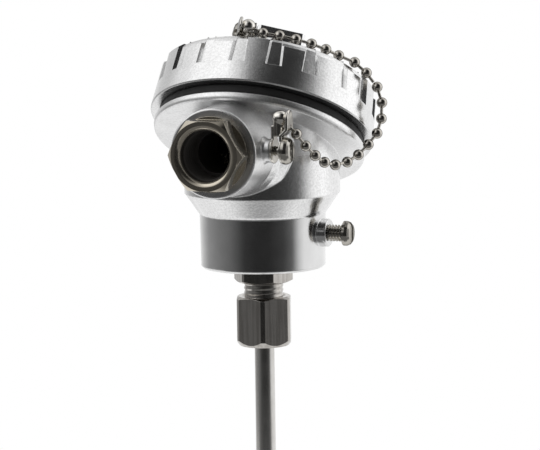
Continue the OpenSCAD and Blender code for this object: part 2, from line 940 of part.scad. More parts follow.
// Two leaves with eyes on the screw; the inner one carries a barrel and a cup for the last
// bead, the outer one bends out and closes the cup. The screw axis is +X, the barrel is +Z,
// and the chain leaves the cup along way_out.
module shackle(way_out) {
    half = strap_w / 2;
    eye_x = strap_t + leaf_gap;
    bend_low = max(eye_d, chain_head_d) / 2 + small_gap + 0.4;
    bend_high = bend_low + outer_x - eye_x;
    difference() {
        union() {
            pressed_disc(eye_d / 2);
            translate([0, -half, 0])
                cube([strap_t, strap_w, shackle_len - cup_r]);
            translate([strap_t + barrel_r - 0.15, 0, chain_head_d / 2 + small_gap])
                cylinder(h = shackle_len - chain_head_d / 2 - small_gap, r = barrel_r, $fn = 48);
            translate([cup_x, 0, shackle_len])
                sphere(r = cup_r, $fn = 48);
            // outer leaf
            translate([eye_x, 0, 0])
                pressed_disc(eye_d / 2);
            translate([0, half, 0])
                rotate([90, 0, 0])
                    linear_extrude(strap_w)
                        polygon([
                            [eye_x, 0], [eye_x, bend_low], [outer_x, bend_high],
                            [outer_x, shackle_len], [outer_x + strap_t, shackle_len],
                            [outer_x + strap_t, bend_high - 0.4], [eye_x + strap_t, bend_low - 0.4],
                            [eye_x + strap_t, 0]
                        ]);
            translate([outer_x, 0, shackle_len])
                pressed_disc(half);
        }
        translate([-1, 0, 0])
            rotate([0, 90, 0])
                cylinder(h = shackle_span + 2, r = chain_screw_r + 0.1, $fn = 32);
        // room for the bead, and the hole that lets the chain out
        along([cup_x, 0, shackle_len], way_out)
            rotate([90, 0, 0])
                sphere(r = bead_r + run_fit, $fn = 48);
        pin_between([cup_x, 0, shackle_len], [cup_x, 0, shackle_len] + way_out, chain_way_d);
    }
}

chain_way_d = 1.5;

module chain_screw() {
    translate([-chain_screw_depth, 0, 0])
        rotate([0, 90, 0])
            cylinder(h = chain_screw_depth + shackle_span + 0.2, r = chain_screw_r, $fn = 32);
    translate([shackle_span, 0, 0])
        rotate([0, 90, 0])
            slotted_head(chain_head_d, chain_head_t);
}

// Seats of the two shackles: on the body's lug, and on the grip bar's pad
module at_lug() {
    translate([lug_x, -lug_reach, entry_z + lug_up])
        children();
}

module at_pad() {
    in_lid_frame()
        rotate([0, 0, bar_angle])
            translate([bar_reach - pad_back, bar_side - bar_w / 2 - pad_t, lid_h + pad_up])
                rotate([0, 90 - shackle_rise, 0])
                    rotate([0, 0, -90])
                        children();
}

// The caught beads' places, in the part's frame and in the lid's frame
body_catch = [lug_x + cup_x, -lug_reach, entry_z + lug_up + shackle_len];

function turned(p, a) = [p[0] * cos(a) - p[1] * sin(a), p[0] * sin(a) + p[1] * cos(a), p[2]];

lid_catch = turned(
    [
        bar_reach - pad_back + shackle_len * cos(shackle_rise),
        bar_side - bar_w / 2 - pad_t - cup_x,
        lid_h + pad_up + shackle_len * sin(shackle_rise)
    ],
    bar_angle
);

// The chain's ways out of the two cups, in the shackle's own axes
body_way_out = hang_route[len(hang_route) - 1] - body_catch;
lid_way_out =
    let (d = turned(lid_bead(0) - lid_catch, -bar_angle))
    [
        -d[1],
        d[0] * sin(shackle_rise) - d[2] * cos(shackle_rise),
        d[0] * cos(shackle_rise) + d[2] * sin(shackle_rise)
    ];

module body_shackle() {
    color(nickel_colour)
        at_lug()
            shackle(body_way_out);
}

module body_chain_screw() {
    color(nickel_colour)
        at_lug()
            chain_screw();
}

module lid_shackle() {
    color(nickel_colour)
        at_pad()
            shackle(lid_way_out);
}

module lid_chain_screw() {
    color(nickel_colour)
        at_pad()
            chain_screw();
}

// ---------------------------------------------------------------- assembly
head_body();
seal_ring();
lid();
entry_bush();
earth_screw();
fitting_nipple();
ferrule();
compression_nut();
probe_sheath();
sensing_element();
lead_insulator();
potting_seal();
lead_wire(lead_turn(0));  // lead_wire_1
lead_wire(lead_turn(1));  // lead_wire_2
lead_wire(lead_turn(2));  // lead_wire_3
lead_wire(lead_turn(3));  // lead_wire_4
terminal_block();
terminal_plates();
terminal_screws();
block_screws();
chain_on_lid();
lid_shackle();
lid_chain_screw();
chain_hanging();
body_shackle();
body_chain_screw();
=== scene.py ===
"""Dresses a resistance thermometer probe with a screw-top connection head.

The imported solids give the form. This script adds the screw threads, turns down the hexagons and
rounds the chain couplings, gives every piece its finish, and sets up the studio and the camera.
"""

import json
import logging
import math
from dataclasses import dataclass, field
from enum import Enum
from typing import Any, ClassVar

import bpy
from mathutils import Matrix, Vector

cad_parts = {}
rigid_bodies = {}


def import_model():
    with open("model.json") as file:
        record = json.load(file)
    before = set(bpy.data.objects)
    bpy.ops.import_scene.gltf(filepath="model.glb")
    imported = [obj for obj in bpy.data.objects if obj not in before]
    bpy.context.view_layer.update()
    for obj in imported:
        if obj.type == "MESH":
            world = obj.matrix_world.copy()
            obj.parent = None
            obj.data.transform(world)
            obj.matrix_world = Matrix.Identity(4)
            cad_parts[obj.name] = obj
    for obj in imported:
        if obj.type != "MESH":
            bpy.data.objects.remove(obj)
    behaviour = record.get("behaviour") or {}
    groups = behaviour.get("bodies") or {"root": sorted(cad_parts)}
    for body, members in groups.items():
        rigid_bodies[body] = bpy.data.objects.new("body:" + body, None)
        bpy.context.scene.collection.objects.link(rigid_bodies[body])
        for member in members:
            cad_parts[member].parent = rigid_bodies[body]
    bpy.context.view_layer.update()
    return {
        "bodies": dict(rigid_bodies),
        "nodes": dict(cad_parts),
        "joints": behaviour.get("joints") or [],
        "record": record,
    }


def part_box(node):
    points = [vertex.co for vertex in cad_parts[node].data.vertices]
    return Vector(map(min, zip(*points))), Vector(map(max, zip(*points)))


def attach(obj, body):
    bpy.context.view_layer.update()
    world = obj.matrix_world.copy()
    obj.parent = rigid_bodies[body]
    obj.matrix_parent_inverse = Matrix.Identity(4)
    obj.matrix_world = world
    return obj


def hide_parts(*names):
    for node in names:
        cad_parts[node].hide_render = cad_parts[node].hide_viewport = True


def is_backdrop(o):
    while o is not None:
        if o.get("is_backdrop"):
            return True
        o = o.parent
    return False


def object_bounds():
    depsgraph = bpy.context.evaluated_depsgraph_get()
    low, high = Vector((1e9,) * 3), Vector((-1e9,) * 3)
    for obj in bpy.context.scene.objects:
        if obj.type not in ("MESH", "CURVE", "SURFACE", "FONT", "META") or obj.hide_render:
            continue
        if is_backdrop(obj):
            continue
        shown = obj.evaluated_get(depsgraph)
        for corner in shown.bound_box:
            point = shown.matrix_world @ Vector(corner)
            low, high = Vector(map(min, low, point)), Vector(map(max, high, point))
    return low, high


LOG = logging.getLogger("probe")
MM = 0.001
WHITE = (1.0, 1.0, 1.0)
BLACK = (0.0, 0.0, 0.0)
ORIGIN = (0.0, 0.0, 0.0)

Pair = tuple[float, float]
Triple = tuple[float, float, float]
Colour = Triple
Frame = dict[str, Any]
Socket = bpy.types.NodeSocket
Node = bpy.types.Node
NodeTree = bpy.types.NodeTree
Material = bpy.types.Material
Object = bpy.types.Object


class Axis(Enum):
    """The axis that a turned piece was turned about."""

    X = 0
    Y = 1
    Z = 2

    def turn_from_z(self) -> Matrix:
        """Gives the turn that lays a piece from the Z axis onto this one.

        Returns:
            The turn.
        """
        if self is Axis.Z:
            return Matrix.Identity(4)
        about = "Y" if self is Axis.X else "X"
        return Matrix.Rotation(math.radians(90.0), 4, about)

    def scaled(self, factor: float) -> Triple:
        """Gives three numbers: the factor for this axis and 1 for the other two."""
        return tuple(factor if number == self.value else 1.0 for number in range(3))


class SocketKind(Enum):
    """What a socket of an effect group carries."""

    VALUE = "NodeSocketFloat"
    VECTOR = "NodeSocketVector"


# -------------------- node trees


class Sheet:
    """A node tree that is written line by line."""

    def __init__(self, tree: NodeTree) -> None:
        """Empties the tree.

        Args:
            tree: the node tree of a material, a world or a group.
        """
        self.tree = tree
        tree.nodes.clear()

    def add(self, kind: str, settings: dict[str, Any] | None = None, **inputs: Any) -> Node:
        """Adds one node.

        Args:
            kind: the node's type name.
            settings: properties of the node itself.
            inputs: values or sockets for its inputs, with _ for a space in the name.

        Returns:
            The new node.
        """
        node = self.tree.nodes.new(kind)
        for name, value in (settings or {}).items():
            setattr(node, name, value)
        for name, value in inputs.items():
            self.feed(node, name.replace("_", " "), value)
        return node

    def feed(self, node: Node, name: str | int, value: Any) -> None:
        """Links a socket to a node's input, or sets the input to a value.

        Args:
            node: the node that is fed.
            name: the input's name or number.
            value: an output socket, a number or a tuple.
        """
        socket = node.inputs[name]
        if isinstance(value, Socket):
            self.tree.links.new(value, socket)
        else:
            socket.default_value = value

    def maths(self, operation: str, first: Any, second: Any = 0.0, clamp: bool = False) -> Socket:
        """Adds a Math node.

        Args:
            operation: the Math node's operation.
            first: its first value or socket.
            second: its second value or socket.
            clamp: whether the result stays between 0 and 1.

        Returns:
            The result's socket.
        """
        node = self.add("ShaderNodeMath", {"operation": operation, "use_clamp": clamp})
        self.feed(node, 0, first)
        self.feed(node, 1, second)
        return node.outputs[0]

    def plus(self, first: Any, second: Any) -> Socket:
        """Adds two values."""
        return self.maths("ADD", first, second)

    def times(self, first: Any, second: Any) -> Socket:
        """Multiplies two values."""
        return self.maths("MULTIPLY", first, second)

    def larger(self, first: Any, second: Any) -> Socket:
        """Takes the larger of two values."""
        return self.maths("MAXIMUM", first, second)

    def share(self, first: Socket, second: Socket, amount: float) -> Socket:
        """Adds two values, with this amount of the first and the rest of the second."""
        return self.plus(self.times(first, amount), self.times(second, 1.0 - amount))

    def vectors(self, operation: str, first: Any, second: Any = ORIGIN) -> Node:
        """Adds a Vector Math node.

        Args:
            operation: the Vector Math node's operation.
            first: its first vector or socket.
            second: its second vector or socket.

        Returns:
            The node.
        """
        node = self.add("ShaderNodeVectorMath", {"operation": operation})
        self.feed(node, 0, first)
        self.feed(node, 1, second)
        return node

    def span(
        self, value: Socket, low: float, high: float, out_low: float = 0.0, out_high: float = 1.0
    ) -> Socket:
        """Maps a range of values smoothly onto another.

        Args:
            value: the socket that is mapped.
            low: the value that gives out_low.
            high: the value that gives out_high.
            out_low: the result at low.
            out_high: the result at high.

        Returns:
            The result's socket.
        """
        node = self.add("ShaderNodeMapRange", {"interpolation_type": "SMOOTHSTEP"})
        ends = {"From Min": low, "From Max": high, "To Min": out_low, "To Max": out_high}
        for name, number in ends.items():
            self.feed(node, name, number)
        self.feed(node, "Value", value)
        return node.outputs["Result"]

    def blend(self, factor: Any, first: Any, second: Any) -> Socket:
        """Mixes two colours.

        Args:
            factor: 0 for the first colour, 1 for the second.
            first: a colour or a socket.
            second: a colour or a socket.

        Returns:
            The mixed colour's socket.
        """
        node = self.add("ShaderNodeMix", {"data_type": "RGBA"})
        self.feed(node, 0, factor)
        self.feed(node, 6, rgba(first))
        self.feed(node, 7, rgba(second))
        return node.outputs[2]

    def noise(self, place: Socket, scale: Any, detail: float, roughness: float = 0.5) -> Socket:
        """Adds a noise over the object.

        Args:
            place: the place on the object.
            scale: how many features there are to the metre.
            detail: how many finer layers it has.
            roughness: how strong the finer layers are.

        Returns:
            The noise's socket.
        """
        node = self.add("ShaderNodeTexNoise", Vector=place, Scale=scale, Detail=detail, Roughness=roughness)
        return node.outputs[0]

    def group(self, effect: NodeTree, **inputs: Any) -> Node:
        """Places an effect group.

        Args:
            effect: the group's tree.
            inputs: values or sockets for its inputs.

        Returns:
            The group node.
        """
        return self.add("ShaderNodeGroup", {"node_tree": effect}, **inputs)


def rgba(colour: Any) -> Any:
    """Gives a colour its fourth number, and leaves a socket as it is."""
    if isinstance(colour, tuple) and len(colour) == 3:
        return (*colour, 1.0)
    return colour


def new_group(
    name: str, inputs: dict[str, SocketKind], outputs: dict[str, SocketKind]
) -> tuple[Sheet, Node, Node]:
    """Starts an effect group.

    Args:
        name: the group's name.
        inputs: each input's name and kind.
        outputs: each output's name and kind.

    Returns:
        The group's sheet, its input node and its output node.
    """
    tree = bpy.data.node_groups.new(name, "ShaderNodeTree")
    sheet = Sheet(tree)
    for label, kind in inputs.items():
        tree.interface.new_socket(label, in_out="INPUT", socket_type=kind.value)
    for label, kind in outputs.items():
        tree.interface.new_socket(label, in_out="OUTPUT", socket_type=kind.value)
    return sheet, sheet.add("NodeGroupInput"), sheet.add("NodeGroupOutput")


class Effects:
    """The shader effects that several finishes share, each built once."""

    coarse_grain: ClassVar[float] = 0.38
    fine_share: ClassVar[float] = 0.6
    speckle_band: ClassVar[Pair] = (0.35, 0.65)
    patch_band: ClassVar[Pair] = (0.32, 0.68)

    def __init__(self) -> None:
        """Builds the groups."""
        self.grain = self.build_grain()
        self.clouds = self.build_clouds()
        self.turning = self.build_turning()

    def build_grain(self) -> NodeTree:
        """Builds the fine grain of a blasted or cast surface.

        Returns:
            A group that gives a speckle and a height, each from 0 to 1.
        """
        sheet, given, out = new_group(
            "fine_grain",
            {"Place": SocketKind.VECTOR, "Grains per metre": SocketKind.VALUE},
            {"Speckle": SocketKind.VALUE, "Height": SocketKind.VALUE},
        )
        place, grains = given.outputs[0], given.outputs[1]
        fine = sheet.noise(place, grains, 3.0, 0.65)
        coarse = sheet.noise(place, sheet.times(grains, self.coarse_grain), 2.0)
        sheet.feed(out, 0, sheet.span(fine, *self.speckle_band))
        sheet.feed(out, 1, sheet.share(fine, coarse, self.fine_share))
        return sheet.tree

    def build_clouds(self) -> NodeTree:
        """Builds soft patches, as handling and oil leave on metal.

        Returns:
            A group that gives one patch value from 0 to 1.
        """
        sheet, given, out = new_group(
            "soft_clouds",
            {"Place": SocketKind.VECTOR, "Patches per metre": SocketKind.VALUE},
            {"Patch": SocketKind.VALUE},
        )
        patches = sheet.noise(given.outputs[0], given.outputs[1], 4.0, 0.55)
        sheet.feed(out, 0, sheet.span(patches, *self.patch_band))
        return sheet.tree

    @staticmethod
    def build_turning() -> NodeTree:
        """Builds the fine lines that a lathe leaves round a piece.

        Returns:
            A group that gives a line height from 0 to 1, from the place along the axis.
        """
        sheet, given, out = new_group(
            "turning_lines",
            {"Along": SocketKind.VALUE, "Lines per metre": SocketKind.VALUE},
            {"Line": SocketKind.VALUE},
        )
        lines = sheet.times(given.outputs[0], given.outputs[1])
        noise = sheet.add(
            "ShaderNodeTexNoise", {"noise_dimensions": "1D"}, W=lines, Scale=1.0, Detail=3.0, Roughness=0.7
        )
        sheet.feed(out, 0, noise.outputs[0])
        return sheet.tree


# -------------------- finishes


@dataclass(frozen=True)
class Finish:
    """What every finish has: a name, a colour, a gloss and the radius of its soft edges."""

    name: str
    colour: Colour
    roughness: float
    soft_edge: float = field(default=0.15 * MM, kw_only=True)

    def start(self) -> tuple[Material, Sheet, Node, Socket]:
        """Starts the material.

        Returns:
            The material, its sheet, its shader and the place on the object.
        """
        material = bpy.data.materials.new(self.name)
        material.use_nodes = True
        sheet = Sheet(material.node_tree)
        shader = sheet.add("ShaderNodeBsdfPrincipled")
        sheet.add("ShaderNodeOutputMaterial", Surface=shader.outputs[0])
        place = sheet.add("ShaderNodeTexCoord").outputs["Object"]
        return material, sheet, shader, place

    def relief(self, sheet: Sheet, shader: Node, height: Socket, depth: float) -> None:
        """Gives the surface its rounded edges and its fine relief.

        Args:
            sheet: the material's sheet.
            shader: the material's shader.
            height: the relief, from 0 to 1.
            depth: how deep the relief is, in metres.
        """
        rounded = sheet.add("ShaderNodeBevel", {"samples": 8}, Radius=self.soft_edge).outputs[0]
        bump = sheet.add("ShaderNodeBump", Height=height, Strength=1.0, Distance=depth, Normal=rounded)
        sheet.feed(shader, "Normal", bump.outputs[0])

    def build(self, effects: Effects) -> Material:
        """Builds the material.

        Args:
            effects: the shared effect groups.

        Returns:
            The material.
        """
        raise NotImplementedError


@dataclass(frozen=True)
class CastMetal(Finish):
    """Die-cast aluminium, finely blasted, with faces that a tool has cut smooth.

    The base is cut from cut_from up to cut_to, and the entry's face is cut where it lies
    before cut_face. The boss and the rim flange are duller than the rest by coarse.
    """

    grains: float = 1600.0
    grain_depth: float = 0.03 * MM
    speckle: float = 0.08
    speckle_share: float = 0.6
    patches: float = 90.0
    dulling: float = 0.03
    cut_from: float = 0.0
    cut_to: float = -2.0
    cut_face: float = -1.0
    cut_edge: float = 0.15 * MM
    cut_shine: float = 0.05
    cut_lines: float = 9000.0
    cut_depth: float = 0.12
    coarse: float = 0.0
    boss_ends: Pair = (-27.0 * MM, -24.5 * MM)
    rim_starts: Pair = (56.0 * MM, 62.0 * MM)

    def build(self, effects: Effects) -> Material:
        """Builds the material.

        Args:
            effects: the shared effect groups.

        Returns:
            The material.
        """
        material, sheet, shader, place = self.start()
        grain = sheet.group(effects.grain, Place=place, Grains_per_metre=self.grains)
        cloud = sheet.group(effects.clouds, Place=place, Patches_per_metre=self.patches).outputs[0]
        split = sheet.add("ShaderNodeSeparateXYZ", Vector=place)
        cut = self.cut_mask(sheet, split)
        blasted = sheet.maths("SUBTRACT", 1.0, cut, clamp=True)
        speckle = sheet.times(grain.outputs["Speckle"], blasted)
        dark = tuple(channel * (1.0 - 2.0 * self.speckle) for channel in self.colour)
        light = tuple(min(1.0, channel * (1.0 + self.speckle)) for channel in self.colour)
        tone = sheet.share(speckle, cloud, self.speckle_share)
        sheet.feed(shader, "Base Color", sheet.blend(tone, dark, light))
        sheet.feed(shader, "Metallic", 1.0)
        dull = sheet.plus(sheet.times(cloud, self.dulling), self.coarse_share(sheet, split))
        shine = sheet.times(cut, self.cut_shine)
        sheet.feed(shader, "Roughness", sheet.maths("SUBTRACT", sheet.plus(self.roughness, dull), shine))
        lines = sheet.group(effects.turning, Along=split.outputs["Z"], Lines_per_metre=self.cut_lines)
        height = sheet.times(grain.outputs["Height"], blasted)
        height = sheet.plus(height, sheet.times(sheet.times(lines.outputs[0], cut), self.cut_depth))
        self.relief(sheet, shader, height, self.grain_depth)
        return material

    def cut_mask(self, sheet: Sheet, split: Node) -> Socket:
        """Finds the turned base and the cut entry face.

        Args:
            sheet: the material's sheet.
            split: the place on the object, split into its three numbers.

        Returns:
            1 on cut faces and 0 elsewhere.
        """
        low = sheet.span(split.outputs["Z"], self.cut_from, self.cut_from + self.cut_edge)
        high = sheet.span(split.outputs["Z"], self.cut_to - self.cut_edge, self.cut_to, 1.0, 0.0)
        face = sheet.span(split.outputs["Y"], self.cut_face, self.cut_face + self.cut_edge, 1.0, 0.0)
        return sheet.larger(sheet.times(low, high), face)

    def coarse_share(self, sheet: Sheet, split: Node) -> Socket:
        """Finds how much duller the boss and the rim flange are.

        Args:
            sheet: the material's sheet.
            split: the place on the object, split into its three numbers.

        Returns:
            What the roughness gains.
        """
        boss = sheet.span(split.outputs["Y"], *self.boss_ends, 1.0, 0.0)
        rim = sheet.span(split.outputs["Z"], *self.rim_starts)
        return sheet.times(sheet.larger(boss, rim), self.coarse)


@dataclass(frozen=True)
class TurnedMetal(Finish):
    """Turned or drawn metal with fine lines round its axis and worn streaks along it.

    Where a bore radius is given, the wall inside that radius round bore_middle gets painted shade: a black,
    matt, non-metal colour.
    """

    axis: Axis = Axis.Z
    lines: float = 7000.0
    depth: float = 0.02 * MM
    streaks: float = 0.0
    streaks_per_metre: float = 900.0
    stretch: float = 0.04
    worn_band: Pair = (0.4, 0.62)
    patches: float = 260.0
    tint: float = 0.1
    dulling: float = 0.05
    grime: Colour = (0.25, 0.22, 0.19)
    shaded_bore_radius: float = 0.0
    bore_middle: Triple = ORIGIN
    # The colour of the painted shade in the bore.
    bore_shade_colour: Colour = (0.022, 0.019, 0.016)
    bore_dulling: float = 0.4
    bore_edge: float = 0.4 * MM

    def build(self, effects: Effects) -> Material:
        """Builds the material.

        Args:
            effects: the shared effect groups.

        Returns:
            The material.
        """
        material, sheet, shader, place = self.start()
        split = sheet.add("ShaderNodeSeparateXYZ", Vector=place)
        along = split.outputs[self.axis.value]
        turning = sheet.group(effects.turning, Along=along, Lines_per_metre=self.lines)
        cloud = sheet.group(effects.clouds, Place=place, Patches_per_metre=self.patches).outputs[0]
        tone = sheet.times(self.worn_share(sheet, place), self.streaks)
        tone = sheet.maths("ADD", tone, sheet.times(cloud, self.tint), clamp=True)
        colour = sheet.blend(tone, self.colour, self.grime)
        gloss = sheet.plus(self.roughness, sheet.times(cloud, self.dulling))
        sheet.feed(shader, "Metallic", 1.0)
        if self.shaded_bore_radius > 0.0:
            # Painted shade: the bore's wall is painted black, matt and not metal.
            inside = self.bore_shade_mask(sheet, place)
            colour = sheet.blend(inside, colour, self.bore_shade_colour)
            gloss = sheet.plus(gloss, sheet.times(inside, self.bore_dulling))
            sheet.feed(shader, "Metallic", sheet.maths("SUBTRACT", 1.0, inside))
        sheet.feed(shader, "Base Color", colour)
        sheet.feed(shader, "Roughness", gloss)
        self.relief(sheet, shader, turning.outputs[0], self.depth)
        return material

    def worn_share(self, sheet: Sheet, place: Socket) -> Socket:
        """Finds the streaks that wear leaves along the axis.

        Args:
            sheet: the material's sheet.
            place: the place on the object.

        Returns:
            1 in a streak and 0 beside it.
        """
        squeeze = self.axis.scaled(self.stretch)
        stretched = sheet.add("ShaderNodeMapping", Vector=place, Scale=squeeze).outputs[0]
        streaks = sheet.noise(stretched, self.streaks_per_metre, 3.0, 0.6)
        return sheet.span(streaks, *self.worn_band)

    def bore_shade_mask(self, sheet: Sheet, place: Socket) -> Socket:
        """Finds the wall of the oiled and blackened bore.

        Args:
            sheet: the material's sheet.
            place: the place on the object.

        Returns:
            Finds the wall of the bore where the shade is painted.
        """
        from_middle = sheet.vectors("SUBTRACT", place, self.bore_middle).outputs[0]
        flat = sheet.vectors("MULTIPLY", from_middle, self.axis.scaled(0.0)).outputs[0]
        reach = sheet.vectors("LENGTH", flat).outputs["Value"]
        return sheet.span(reach, self.shaded_bore_radius, self.shaded_bore_radius + self.bore_edge, 1.0, 0.0)


@dataclass(frozen=True)
class PlatedMetal(Finish):
    """Bright nickel or zinc plating with faint patches and pits, and an edge tint of rim."""

    patch: Colour = (0.4, 0.38, 0.35)
    patches: float = 420.0
    amount: float = 0.25
    dulling: float = 0.06
    pits: float = 0.01 * MM
    pits_per_metre: float = 3500.0
    rim: float = 1.0

    def build(self, effects: Effects) -> Material:
        """Builds the material.

        Args:
            effects: the shared effect groups.

        Returns:
            The material.
        """
        material, sheet, shader, place = self.start()
        cloud = sheet.group(effects.clouds, Place=place, Patches_per_metre=self.patches).outputs[0]
        grain = sheet.group(effects.grain, Place=place, Grains_per_metre=self.pits_per_metre)
        tone = sheet.times(cloud, self.amount)
        sheet.feed(shader, "Base Color", sheet.blend(tone, self.colour, self.patch))
        sheet.feed(shader, "Metallic", 1.0)
        sheet.feed(shader, "Specular Tint", rgba((self.rim, self.rim, self.rim)))
        sheet.feed(shader, "Roughness", sheet.plus(self.roughness, sheet.times(cloud, self.dulling)))
        self.relief(sheet, shader, grain.outputs["Height"], self.pits)
        return material


@dataclass(frozen=True)
class PlainBody(Finish):
    """Rubber, resin, ceramic or wire covering: a body colour with grain and patches."""

    shade: Colour = (0.02, 0.02, 0.02)
    grains: float = 2500.0
    grain_depth: float = 0.02 * MM
    patches: float = 300.0
    dulling: float = 0.1
    coat: float = 0.0

    def build(self, effects: Effects) -> Material:
        """Builds the material.

        Args:
            effects: the shared effect groups.

        Returns:
            The material.
        """
        material, sheet, shader, place = self.start()
        cloud = sheet.group(effects.clouds, Place=place, Patches_per_metre=self.patches).outputs[0]
        grain = sheet.group(effects.grain, Place=place, Grains_per_metre=self.grains)
        tone = sheet.times(cloud, grain.outputs["Speckle"])
        sheet.feed(shader, "Base Color", sheet.blend(tone, self.colour, self.shade))
        sheet.feed(shader, "Roughness", sheet.plus(self.roughness, sheet.times(cloud, self.dulling)))
        sheet.feed(shader, "Coat Weight", self.coat)
        self.relief(sheet, shader, grain.outputs["Height"], self.grain_depth)
        return material


class Palette:
    """Every finish of the probe, made once."""

    def __init__(self, effects: Effects) -> None:
        """Builds the materials.

        Args:
            effects: the shared effect groups.
        """
        finishes = self.castings() | self.turned_pieces() | self.plated_pieces() | self.plain_pieces()
        self.materials = {slot: finish.build(effects) for slot, finish in finishes.items()}

    @staticmethod
    def castings() -> dict[str, Finish]:
        """Chooses the finishes of the head and the lid.

        Returns:
            Each slot's finish.
        """
        return {
            "cast_aluminium": CastMetal(
                "blasted_casting", (0.82, 0.82, 0.82), 0.18, soft_edge=0.5 * MM,
                cut_to=40.0 * MM, cut_face=-40.25 * MM, coarse=0.13,
            ),
            "lid_aluminium": CastMetal("blasted_lid", (0.78, 0.78, 0.78), 0.19, soft_edge=0.12 * MM),
        }

    @staticmethod
    def turned_pieces() -> dict[str, Finish]:
        """Chooses the finishes of the turned and drawn pieces.

        Returns:
            Each slot's finish.
        """
        low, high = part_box("entry_bush")
        return {
            "bush_nickel": TurnedMetal(
                "nickel_bush", (0.60, 0.55, 0.46), 0.11, axis=Axis.Y, lines=5000.0, depth=0.005 * MM,
                # The bush's bore gets painted shade.
                shaded_bore_radius=7.45 * MM, bore_middle=(0.0, 0.0, (low[2] + high[2]) / 2.0),
            ),
            "turned_steel": TurnedMetal(
                "turned_steel", (0.52, 0.50, 0.475), 0.13, depth=0.006 * MM, streaks=0.4,
                grime=(0.24, 0.22, 0.2),
            ),
            "sheath_steel": TurnedMetal(
                "drawn_sheath", (0.68, 0.67, 0.65), 0.18, lines=3000.0, depth=0.005 * MM, streaks=0.15
            ),
            "ferrule_brass": TurnedMetal("brass_ferrule", (0.78, 0.60, 0.30), 0.22),
        }

    @staticmethod
    def plated_pieces() -> dict[str, Finish]:
        """Chooses the finishes of the plated pieces.

        Returns:
            Each slot's finish.
        """
        return {
            "bright_screw": PlatedMetal(
                "bright_screw", (0.50, 0.48, 0.44), 0.08, soft_edge=0.25 * MM, pits=0.003 * MM, rim=0.3
            ),
            # The chain's nickel is painted darker than the plating, as painted shade for the dark that its
            # beads reflect.
            "chain_nickel": PlatedMetal(
                "bright_chain", (0.52, 0.495, 0.455), 0.02, soft_edge=0.3 * MM,
                amount=0.12, pits=0.001 * MM, rim=0.15,
            ),
            # The pressings' copy of the same nickel is painted lighter, as a painted highlight.
            "lit_pressed_nickel": PlatedMetal(
                "bright_pressing", (0.80, 0.775, 0.725), 0.07, soft_edge=0.3 * MM,
                amount=0.15, pits=0.001 * MM, rim=0.3,
            ),
            "terminal_brass": PlatedMetal(
                "terminal_plating", (0.74, 0.69, 0.57), 0.2, patch=(0.5, 0.44, 0.32)
            ),
        }

    @staticmethod
    def plain_pieces() -> dict[str, Finish]:
        """Chooses the finishes of the rubber, resin, ceramic and wire.

        Returns:
            Each slot's finish.
        """
        bodies = (
            ("seal_rubber", "seal_rubber", (0.008, 0.008, 0.008), 0.55, (0.016, 0.016, 0.016), 0.0),
            ("sensor_ceramic", "sensor_ceramic", (0.85, 0.83, 0.77), 0.55, (0.72, 0.70, 0.64), 0.0),
            ("block_ceramic", "block_ceramic", (0.82, 0.79, 0.71), 0.32, (0.72, 0.69, 0.61), 0.3),
            ("potting_resin", "potting_resin", (0.02, 0.02, 0.02), 0.15, (0.04, 0.04, 0.04), 0.0),
            ("wire_red", "red_wire", (0.50, 0.04, 0.03), 0.4, (0.38, 0.03, 0.02), 0.0),
            ("wire_white", "white_wire", (0.78, 0.77, 0.73), 0.4, (0.68, 0.67, 0.62), 0.0),
        )
        return {
            slot: PlainBody(name, colour, roughness, shade=shade, coat=coat)
            for slot, name, colour, roughness, shade, coat in bodies
        }

    def dress_nodes(self, frame: Frame) -> None:
        """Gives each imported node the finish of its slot.
        """
        slots = {part["node"]: part["material_slot"] for part in frame["record"]["subparts"]}
        for name, node in frame["nodes"].items():
            for slot in node.material_slots:
                slot.material = self.materials[slots[name]]
            LOG.info("dressed %s in %s", name, slots[name])


# -------------------- modelling helpers


def body_of(frame: Frame, node: str) -> str:
    """Finds the body that carries a node.

    Args:
        node: the node's name.

    Returns:
        The body's name.
    """
    bodies = frame["record"]["behaviour"]["bodies"]
    return next(name for name, nodes in bodies.items() if node in nodes)


def pick(*pieces: Object) -> None:
    """Selects these pieces only, and makes the last one active.

    Args:
        pieces: the pieces.
    """
    bpy.ops.object.select_all(action="DESELECT")
    for piece in pieces:
        piece.select_set(True)
    bpy.context.view_layer.objects.active = pieces[-1]


def weld(distance: float) -> None:
    """Merges the corners of the mesh in edit mode that lie this close together."""
    bpy.ops.mesh.select_all(action="SELECT")
    bpy.ops.mesh.remove_doubles(threshold=distance)


def close_holes(sides: int) -> None:
    """Closes the mesh in edit mode and turns its faces outwards.

    Args:
        sides: the most sides that a closed hole has, or 0 for any number.
    """
    bpy.ops.mesh.select_all(action="SELECT")
    bpy.ops.mesh.fill_holes(sides=sides)
    bpy.ops.mesh.select_all(action="SELECT")
    bpy.ops.mesh.normals_make_consistent(inside=False)


def carve(piece: Object, tool: Object, operation: str) -> None:
    """Cuts a piece with a tool, and removes the tool.

    Args:
        piece: the piece that is cut.
        tool: the closed mesh that cuts it.
        operation: INTERSECT or DIFFERENCE.
    """
    pick(piece)
    cut = piece.modifiers.new("cut", "BOOLEAN")
    cut.operation = operation
    cut.solver = "EXACT"
    cut.object = tool
    bpy.ops.object.modifier_apply(modifier="cut")
    bpy.data.objects.remove(tool)


# -------------------- pieces


